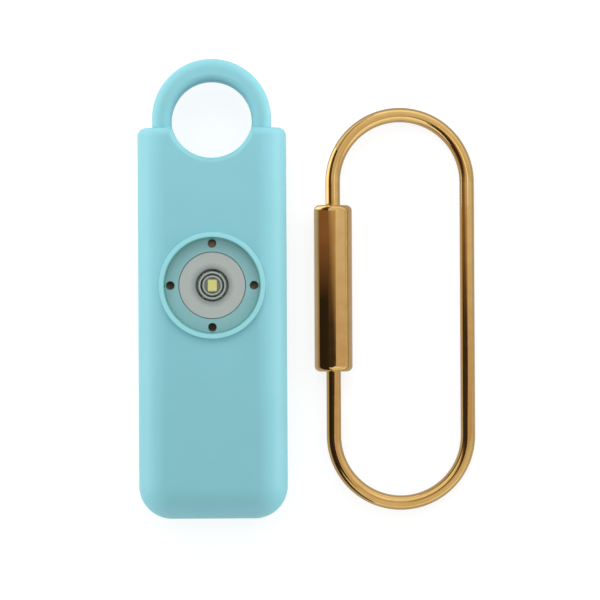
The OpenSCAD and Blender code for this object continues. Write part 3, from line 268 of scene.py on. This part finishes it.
def turned_nickel():
    """Nickel-plated cans of the coin cells: bright, with the rings of the drawing die, drawn 0.8 mm apart so that
    they show."""
    material, tree, place = start("turned_nickel")
    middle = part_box("upper_cell")
    centre = (middle[0] + middle[1]) / 2
    own = add(tree, "ShaderNodeMapping", {}, {"Vector": place, "Location": [-c for c in centre]}).outputs[0]
    rings = add(tree, "ShaderNodeTexWave", {"wave_type": "RINGS", "rings_direction": "Z"},
                {"Vector": own, "Scale": per_mm(2.5), "Distortion": 1.5, "Detail": 2}).outputs["Fac"]
    relief = add(tree, "ShaderNodeBump", {}, {"Height": rings, "Distance": 0.003 * MM, "Strength": 1})
    shader = add(tree, "ShaderNodeBsdfPrincipled", {}, {
        "Base Color": add(tree, "ShaderNodeMix", {"data_type": "RGBA"},
                          {0: rings, 6: linear("#bcbdbb"), 7: linear("#cbccca")}).outputs[2],
        "Metallic": 1.0,
        "Roughness": add(tree, "ShaderNodeMapRange", {},
                         {"Value": rings, "To Min": 0.2, "To Max": 0.32}).outputs[0],
        "Normal": relief.outputs[0],
    })
    add(tree, "ShaderNodeOutputMaterial", {}, {"Surface": shader.outputs[0]})
    return material


def wound_copper():
    """Enamelled copper wire in a close winding: a warm red-brown, with a ridge for each turn. The turns are drawn
    0.5 mm apart, about twice as coarse as the real wire, so that they show."""
    material, tree, place = start("wound_copper")
    # The colour follows the turns: lighter on each crest and darker in the grooves between, as painted highlight and
    # painted shade
    turns = add(tree, "ShaderNodeTexWave", {"bands_direction": "Z"},
                {"Vector": place, "Scale": per_mm(1.6), "Distortion": 0.4, "Detail": 1}).outputs["Fac"]
    relief = add(tree, "ShaderNodeBump", {}, {"Height": turns, "Distance": 0.08 * MM, "Strength": 1})
    shader = add(tree, "ShaderNodeBsdfPrincipled", {}, {
        "Base Color": add(tree, "ShaderNodeMix", {"data_type": "RGBA"},
                          {0: turns, 6: linear("#7d3d1c"), 7: linear("#c47a45")}).outputs[2],
        "Metallic": 0.9,
        "Roughness": 0.3,
        "Normal": relief.outputs[0],
    })
    add(tree, "ShaderNodeOutputMaterial", {}, {"Surface": shader.outputs[0]})
    return material


def masked_board():
    """Glass-epoxy board under green solder mask: paler where copper tracks lie under the mask."""
    material, tree, place = start("masked_board")
    tracks = add(tree, "ShaderNodeTexBrick", {}, {
        "Vector": place, "Color1": linear("#17472f"), "Color2": linear("#1a4f35"), "Mortar": linear("#2f7a54"),
        "Scale": per_mm(4), "Mortar Size": 0.05, "Mortar Smooth": 0.2})
    pads = add(tree, "ShaderNodeTexVoronoi", {}, {"Vector": place, "Scale": per_mm(3.2)}).outputs[0]
    pad = add(tree, "ShaderNodeMapRange", {}, {"Value": pads, "From Min": 0.11, "From Max": 0.13,
                                               "To Min": 1, "To Max": 0}).outputs[0]
    colour = add(tree, "ShaderNodeMix", {"data_type": "RGBA"},
                 {0: pad, 6: tracks.outputs[0], 7: linear("#b8a05c")}).outputs[2]
    relief = add(tree, "ShaderNodeBump", {}, {"Height": tracks.outputs[1], "Distance": 0.03 * MM, "Strength": 1})
    shader = add(tree, "ShaderNodeBsdfPrincipled", {}, {
        "Base Color": colour,
        "Roughness": add(tree, "ShaderNodeMapRange", {},
                         {"Value": pad, "To Min": 0.32, "To Max": 0.25}).outputs[0],
        "Normal": relief.outputs[0],
    })
    add(tree, "ShaderNodeOutputMaterial", {}, {"Surface": shader.outputs[0]})
    return material


def sleeved_can():
    """Aluminium can in a shrunk blue-grey sleeve: bare metal on top, plastic with a soft shine around it."""
    material, tree, place = start("sleeved_can")
    top = add(tree, "ShaderNodeMath", {"operation": "GREATER_THAN"}, {0: upward(tree), 1: 0.9}).outputs[0]
    shrink = add(tree, "ShaderNodeTexNoise", {}, {"Vector": place, "Scale": per_mm(0.6), "Detail": 2}).outputs[0]
    relief = add(tree, "ShaderNodeBump", {}, {"Height": shrink, "Distance": 0.01 * MM, "Strength": 1})
    shader = add(tree, "ShaderNodeBsdfPrincipled", {}, {
        "Base Color": add(tree, "ShaderNodeMix", {"data_type": "RGBA"},
                          {0: top, 6: linear("#33414f"), 7: linear("#c4c7ca")}).outputs[2],
        "Metallic": top,
        "Roughness": add(tree, "ShaderNodeMapRange", {},
                         {"Value": shrink, "To Min": 0.28, "To Max": 0.4}).outputs[0],
        "Normal": relief.outputs[0],
    })
    add(tree, "ShaderNodeOutputMaterial", {}, {"Surface": shader.outputs[0]})
    return material


brass = polished_brass()
FINISHES = {
    "housing_plastic": soft_touch_abs,
    "rim_plastic": polished_abs(),
    "window_plastic": bare_abs,
    "frosted_plastic": frosted_polycarbonate(),
    "clear_lens": clear_polycarbonate,
    "mirror_plating": metallised_plastic(),
    "white_package": white_resin,
    "phosphor": phosphor_silicone_painted_glow,
    "white_board": white_mask,
    "siren_brass": rolled_brass(),
    "siren_ceramic": fired_silver,
    "red_insulation": red_pvc,
    "black_insulation": black_pvc,
    "green_board": masked_board(),
    "black_epoxy": moulded_epoxy,
    "ferrite": sintered_ferrite,
    "copper_wire": wound_copper(),
    "can_aluminium": sleeved_can(),
    "black_nylon": black_nylon,
    "cell_steel": turned_nickel(),
    "spring_steel": nickel_strip,
    "screw_steel": zinc_plate,
    "white_nylon": white_nylon,
    "polished_brass": brass,
}
for part in frame["record"]["subparts"]:
    mesh = nodes[part["node"]].data
    mesh.materials.clear()
    mesh.materials.append(FINISHES[part["material_slot"]])


def new_piece(name, form, body, finish):
    """Links a finished mesh as a smooth-shaded piece that rides on a body."""
    mesh = bpy.data.meshes.new(name)
    form.to_mesh(mesh)
    form.free()
    piece = bpy.data.objects.new(name, mesh)
    bpy.context.scene.collection.objects.link(piece)
    for face in mesh.polygons:
        face.use_smooth = True
    mesh.materials.append(finish)
    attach(piece, body)
    return piece


def helix_ridge(axis_x, axis_z, y0, y1, foot_r, crest_r, pitch, foot_w):
    """Closed ridge that winds around an axis along Y, and runs out to nothing at both ends."""
    steps = 24
    root_r = foot_r - 0.05 * MM
    count = round((y1 - y0 - foot_w) / pitch * steps)
    form = bmesh.new()
    rings = []
    for i in range(count + 1):
        turn = 2 * math.pi * i / steps
        y = y0 + foot_w / 2 + pitch * i / steps
        rise = (crest_r - foot_r) * max(min(1, 2 * i / steps, 2 * (count - i) / steps), 0.05)
        section = [(root_r, -foot_w / 2), (foot_r + rise, -foot_w / 8),
                   (foot_r + rise, foot_w / 8), (root_r, foot_w / 2)]
        rings.append([form.verts.new((axis_x + r * math.cos(turn), y + dy, axis_z - r * math.sin(turn)))
                      for r, dy in section])
    for low, high in zip(rings, rings[1:]):
        for k in range(4):
            form.faces.new((low[k], low[(k + 1) % 4], high[(k + 1) % 4], high[k]))
    form.faces.new(rings[0])
    form.faces.new(reversed(rings[-1]))
    bmesh.ops.recalc_face_normals(form, faces=form.faces)
    return form


# Rolled thread on the ring's upper wire end, which the sleeve screws on to
sleeve_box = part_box("lock_sleeve")
axis_x = (sleeve_box[0][0] + sleeve_box[1][0]) / 2
axis_z = (sleeve_box[0][2] + sleeve_box[1][2]) / 2
sleeve_top = sleeve_box[1][1]
thread_form = helix_ridge(axis_x, axis_z, sleeve_top - 6.6 * MM, sleeve_top - 0.3 * MM,
                          foot_r=1.35 * MM, crest_r=1.53 * MM, pitch=0.8 * MM, foot_w=0.55 * MM)
wire_thread = new_piece("wire_thread", thread_form, "key_ring", brass)


# Studio: a pale floor and sky, five soft lamps, and cards that show in reflections only
def seen_rays(tree):
    """One for rays that show a thing to the eye: straight, by reflection or through glass."""
    rays = add(tree, "ShaderNodeLightPath", {}, {}).outputs
    seen = add(tree, "ShaderNodeMath", {"operation": "ADD"}, {0: rays["Is Camera Ray"], 1: rays["Is Glossy Ray"]})
    return add(tree, "ShaderNodeMath", {"operation": "ADD", "use_clamp": True},
               {0: seen.outputs[0], 1: rays["Is Transmission Ray"]}).outputs[0]


def studio_floor():
    """Matt white floor. To the eye most of its white is a glow, so that shadows on it stay light."""
    material, tree, place = start("studio_floor")
    cloud = add(tree, "ShaderNodeTexNoise", {}, {"Vector": place, "Scale": per_mm(60), "Detail": 2}).outputs[0]
    white = add(tree, "ShaderNodeMix", {"data_type": "RGBA"},
                {0: cloud, 6: linear("#f5f5f5"), 7: linear("#f8f8f8")}).outputs[2]
    bounce = add(tree, "ShaderNodeBsdfDiffuse", {}, {"Color": white})
    grey = add(tree, "ShaderNodeMix", {"data_type": "RGBA"},
               {0: cloud, 6: linear("#a0a0a0"), 7: linear("#a2a2a2")}).outputs[2]
    paper = add(tree, "ShaderNodeBsdfDiffuse", {}, {"Color": grey})
    glow = add(tree, "ShaderNodeEmission", {}, {"Color": linear("#ffffff"), "Strength": 0.76})
    lit = add(tree, "ShaderNodeAddShader", {}, {0: paper.outputs[0], 1: glow.outputs[0]})
    shader = add(tree, "ShaderNodeMixShader", {}, {0: seen_rays(tree), 1: bounce.outputs[0], 2: lit.outputs[0]})
    add(tree, "ShaderNodeOutputMaterial", {}, {"Surface": shader.outputs[0]})
    return material


def aim(place, target):
    """Rotation that turns a lamp at a place towards a target."""
    return (Vector(target) - Vector(place)).to_track_quat("-Z", "Y").to_euler()


def card(name, corners, finish):
    """Flat card of the studio, which isn't part of the object."""
    form = bmesh.new()
    form.faces.new([form.verts.new(corner) for corner in corners])
    mesh = bpy.data.meshes.new(name)
    form.to_mesh(mesh)
    form.free()
    made = bpy.data.objects.new(name, mesh)
    mesh.materials.append(finish)
    bpy.context.scene.collection.objects.link(made)
    return made


def reflection_card(name, corners, finish):
    """Card that shows in reflections only, and neither lights the object nor shades it."""
    made = card(name, corners, finish)
    made.visible_camera = False
    made.visible_diffuse = False
    made.visible_transmission = False
    made.visible_shadow = False


def one_sided_glow(tree, colour, level):
    """Surface that glows in a colour on its front, and can't be seen from behind."""
    behind = add(tree, "ShaderNodeNewGeometry", {}, {}).outputs["Backfacing"]
    front = add(tree, "ShaderNodeEmission", {}, {"Color": colour, "Strength": level})
    back = add(tree, "ShaderNodeBsdfTransparent", {}, {})
    sides = add(tree, "ShaderNodeMixShader", {}, {0: behind, 1: front.outputs[0], 2: back.outputs[0]})
    add(tree, "ShaderNodeOutputMaterial", {}, {"Surface": sides.outputs[0]})


def shaded_paper(name, axis, at_low, at_high, low, high, level=1):
    """Lit paper whose tone runs from one colour to another along an axis, seen from its front only."""
    material, tree, place = start(name)
    along = add(tree, "ShaderNodeSeparateXYZ", {}, {0: place}).outputs[axis]
    tone = add(tree, "ShaderNodeMapRange", {}, {"Value": along, "From Min": at_low, "From Max": at_high}).outputs[0]
    colour = add(tree, "ShaderNodeMix", {"data_type": "RGBA"}, {0: tone, 6: linear(low), 7: linear(high)}).outputs[2]
    one_sided_glow(tree, colour, level)
    return material


def flag_cloth():
    """Dark cloth of the overhead flag: browner towards the bow's end, and paler at a slant towards its right edge."""
    material, tree, place = start("flag_cloth")
    along = add(tree, "ShaderNodeSeparateXYZ", {}, {0: place}).outputs[1]
    north = add(tree, "ShaderNodeMapRange", {}, {"Value": along, "From Min": -0.01, "From Max": 0.016}).outputs[0]
    slant = add(tree, "ShaderNodeVectorMath", {"operation": "DOT_PRODUCT"},
                {0: place, 1: (1, 4.2, 0)}).outputs["Value"]
    fade = add(tree, "ShaderNodeMapRange", {}, {"Value": slant, "From Min": -0.019, "From Max": 0.1}).outputs[0]
    cloth = add(tree, "ShaderNodeMix", {"data_type": "RGBA"},
                {0: north, 6: linear("#38322c"), 7: linear("#7c6048")}).outputs[2]
    colour = add(tree, "ShaderNodeMix", {"data_type": "RGBA"}, {0: fade, 6: cloth, 7: linear("#b9a58d")}).outputs[2]
    one_sided_glow(tree, colour, 1)
    return material


def lamp(name, place, width, height, level, unlit):
    """Soft lamp turned to the stage, which gives this much of full white to a surface that faces it, and nothing
    to the collection's pieces."""
    light = bpy.data.lights.new(name, "AREA")
    light.shape = "RECTANGLE"
    light.size = width
    light.size_y = height
    light.energy = level * math.pi ** 2 * (Vector(place) - STAGE_CENTRE).length_squared
    made = bpy.data.objects.new(name, light)
    made.location = place
    made.rotation_euler = aim(place, STAGE_CENTRE)
    made.visible_camera = False
    bpy.context.scene.collection.objects.link(made)
    made.light_linking.receiver_collection = unlit


def shade(name, pieces):
    """Collection of pieces that a lamp leaves out."""
    made = bpy.data.collections.new(name)
    for piece in pieces:
        made.objects.link(piece)
    for member in made.collection_objects:
        member.light_linking.link_state = "EXCLUDE"
    return made


# Polished metal and glass show the sky and the cards, and not the lamps
shiny = [nodes[name] for name in ("ring_wire", "lock_sleeve", "wire_stop", "sleeve_bush", "led_lens", "reflector")]
shiny.append(wire_thread)
unlit_metal = shade("unlit_metal", shiny)
# Low lamps leave out the siren's rim too, so that its inner wall keeps its shade
unlit_window = shade("unlit_window", shiny + [nodes["siren_rim"]])

STAGE_CENTRE = Vector((0.0185, 0, 0.006))
# The clear lens casts no shadow, so that light reaches the LED behind it
nodes["led_lens"].visible_shadow = False
FLOOR_HALF = 3
card("floor", [(x * FLOOR_HALF, y * FLOOR_HALF, 0) for x, y in ((-1, -1), (1, -1), (1, 1), (-1, 1))], studio_floor())
lamp("left_window", (-0.9, 0.1, 0.06), 0.5, 0.1, 0.4, unlit_window)
lamp("right_window", (0.94, 0.1, 0.06), 0.5, 0.1, 0.52, unlit_window)
lamp("near_window", (0, -0.9, 0.06), 0.5, 0.1, 0.13, unlit_window)
lamp("top_window", (0.0185, 0.17, 0.34), 0.6, 0.4, 0.28, unlit_metal)
lamp("bow_window", (0, 0.15, 0.115), 0.3, 0.1, 0.43, unlit_window)

# Places of the cards, in metres. The upright ones stand between the alarm and the ring
OVERHEAD = 0.16
BETWEEN = 0.0185
UPRIGHT_TOP = 0.019
PAPER_TOP = 0.0066
SLEEVE_END = 0.0174
WIRE_END = 0.034


def facing_down(x0, x1, y0, y1, z):
    """Corners of a level card that faces down."""
    return [(x0, y1, z), (x1, y1, z), (x1, y0, z), (x0, y0, z)]


def facing_ring(y0, y1, z0, z1):
    """Corners of an upright card beside the ring that faces it."""
    return [(BETWEEN, y0, z0), (BETWEEN, y1, z0), (BETWEEN, y1, z1), (BETWEEN, y0, z1)]


# Overhead flag: the dark that polished metal shows along its middle
FLAG_EDGE = [(-0.6, -0.35), (0.02, -0.1), (0.03, -0.06), (0.042, -0.034), (0.067, -0.021), (0.067, 0.019),
             (-0.012, 0.019), (-0.012, 0.027), (-0.6, 0.06)]
reflection_card("overhead_flag", [(x, y, OVERHEAD) for x, y in reversed(FLAG_EDGE)], flag_cloth())
# Overhead paper beyond the flag: paler towards the bow's end
reflection_card("overhead_paper", facing_down(0.067, 0.6, -0.045, 0.033, OVERHEAD),
                shaded_paper("warm_paper", 1, -0.03, 0.02, "#c4b0a0", "#dbdbdc"))
# Bright strip just under that paper: the thin light along the right wire's upper end
reflection_card("bright_strip", facing_down(0.085, 0.11, 0.0195, 0.05, OVERHEAD - 0.0005),
                shaded_paper("strip_paper", 1, 0.02, 0.05, "#f4efe6", "#fbf6ee", 1.5))
# Upright paper beyond the bow: a deeper gold inside the ring's lower bend
reflection_card("far_paper", [(-0.15, 0.06, 0.02), (0.25, 0.06, 0.02), (0.25, 0.06, 0.07), (-0.15, 0.06, 0.07)],
                shaded_paper("far_paper", 2, 0.02, 0.07, "#e9e4da", "#dcd4c6"))
# Upright flag beside the ring, with paper under it: keeps the alarm's colour out of the brass
reflection_card("side_flag", facing_ring(-0.1, SLEEVE_END, PAPER_TOP, UPRIGHT_TOP),
                shaded_paper("side_cloth", 1, -0.003, 0.011, "#2b2521", "#84644f"))
reflection_card("side_paper", facing_ring(-0.1, SLEEVE_END, 0, PAPER_TOP),
                shaded_paper("side_paper", 2, 0.0045, 0.0066, "#b8b8b8", "#7a7264"))
# Bright paper beside the wire above the sleeve, and plain paper beside the bend beyond it
reflection_card("bright_paper", facing_ring(SLEEVE_END, WIRE_END, 0, UPRIGHT_TOP),
                shaded_paper("bright_paper", 2, 0.0062, 0.0088, "#f6f4ea", "#3c3020", 1.7))
reflection_card("bend_paper", facing_ring(WIRE_END, 0.1, 0, UPRIGHT_TOP),
                shaded_paper("bend_paper", 2, 0.006, 0.014, "#f4f6f4", "#8a7a62"))
# Warm paper low beyond the ring's lower bend: a deeper gold there
reflection_card("south_paper", facing_down(-0.1, 0.2, -0.14, -0.06, 0.05),
                shaded_paper("south_paper", 1, -0.14, -0.06, "#d6d0c4", "#dad4c8"))
# Grey paper under the ring, facing up: takes the white of the floor out of the metal's flanks
reflection_card("ring_paper", facing_down(0.017, 0.8, -0.4, 0.4, 0.0002)[::-1],
                shaded_paper("grey_paper", 0, 0.05, 0.3, "#b8b8b8", "#c4c4c4"))

# Tones of the sky from south over the zenith to north, as polished metal shows them
SKY_BANDS = [(0, "#c8cabc"), (0.2, "#eef2f4"), (0.34, "#c4c2b4"), (0.5, "#b2aea2"), (0.66, "#c4c2b4"),
             (0.8, "#dcdad0"), (1, "#eef2f2")]


def pale_sky():
    """Pale grey sky, lighter to the north and south. It is paler to the eye and in metal than the light it gives."""
    world = bpy.data.worlds.new("pale_sky")
    world.use_nodes = True
    tree = world.node_tree
    tree.nodes.clear()
    way = add(tree, "ShaderNodeSeparateXYZ", {}, {0: add(tree, "ShaderNodeTexCoord", {}, {}).outputs["Generated"]})
    along = add(tree, "ShaderNodeMapRange", {}, {"Value": way.outputs[1], "From Min": -1}).outputs[0]
    bands = add(tree, "ShaderNodeValToRGB", {}, {0: along})
    stops = bands.color_ramp.elements
    for at, tone in SKY_BANDS[1:-1]:
        stops.new(at)
    for stop, (at, tone) in zip(stops, SKY_BANDS):
        stop.color = linear(tone)
    colour = add(tree, "ShaderNodeMix", {"data_type": "RGBA"},
                 {0: seen_rays(tree), 6: linear("#b5b5b5"), 7: bands.outputs[0]}).outputs[2]
    sky = add(tree, "ShaderNodeBackground", {}, {"Color": colour, "Strength": 1.3})
    add(tree, "ShaderNodeOutputWorld", {}, {"Surface": sky.outputs[0]})
    return world


bpy.context.scene.world = pale_sky()
bpy.context.scene.view_settings.view_transform = "Standard"

# Camera straight above, 1.5 m over the floor, with the alarm left of the middle
camera_data = bpy.data.cameras.new("camera")
camera_data.angle = math.radians(4.9)
camera = bpy.data.objects.new("camera", camera_data)
camera.location = (18.6 * MM, -3.2 * MM, 1500 * MM)
camera.rotation_euler = Euler((0, 0, math.radians(-0.3)))
bpy.context.scene.collection.objects.link(camera)
bpy.context.scene.camera = camera
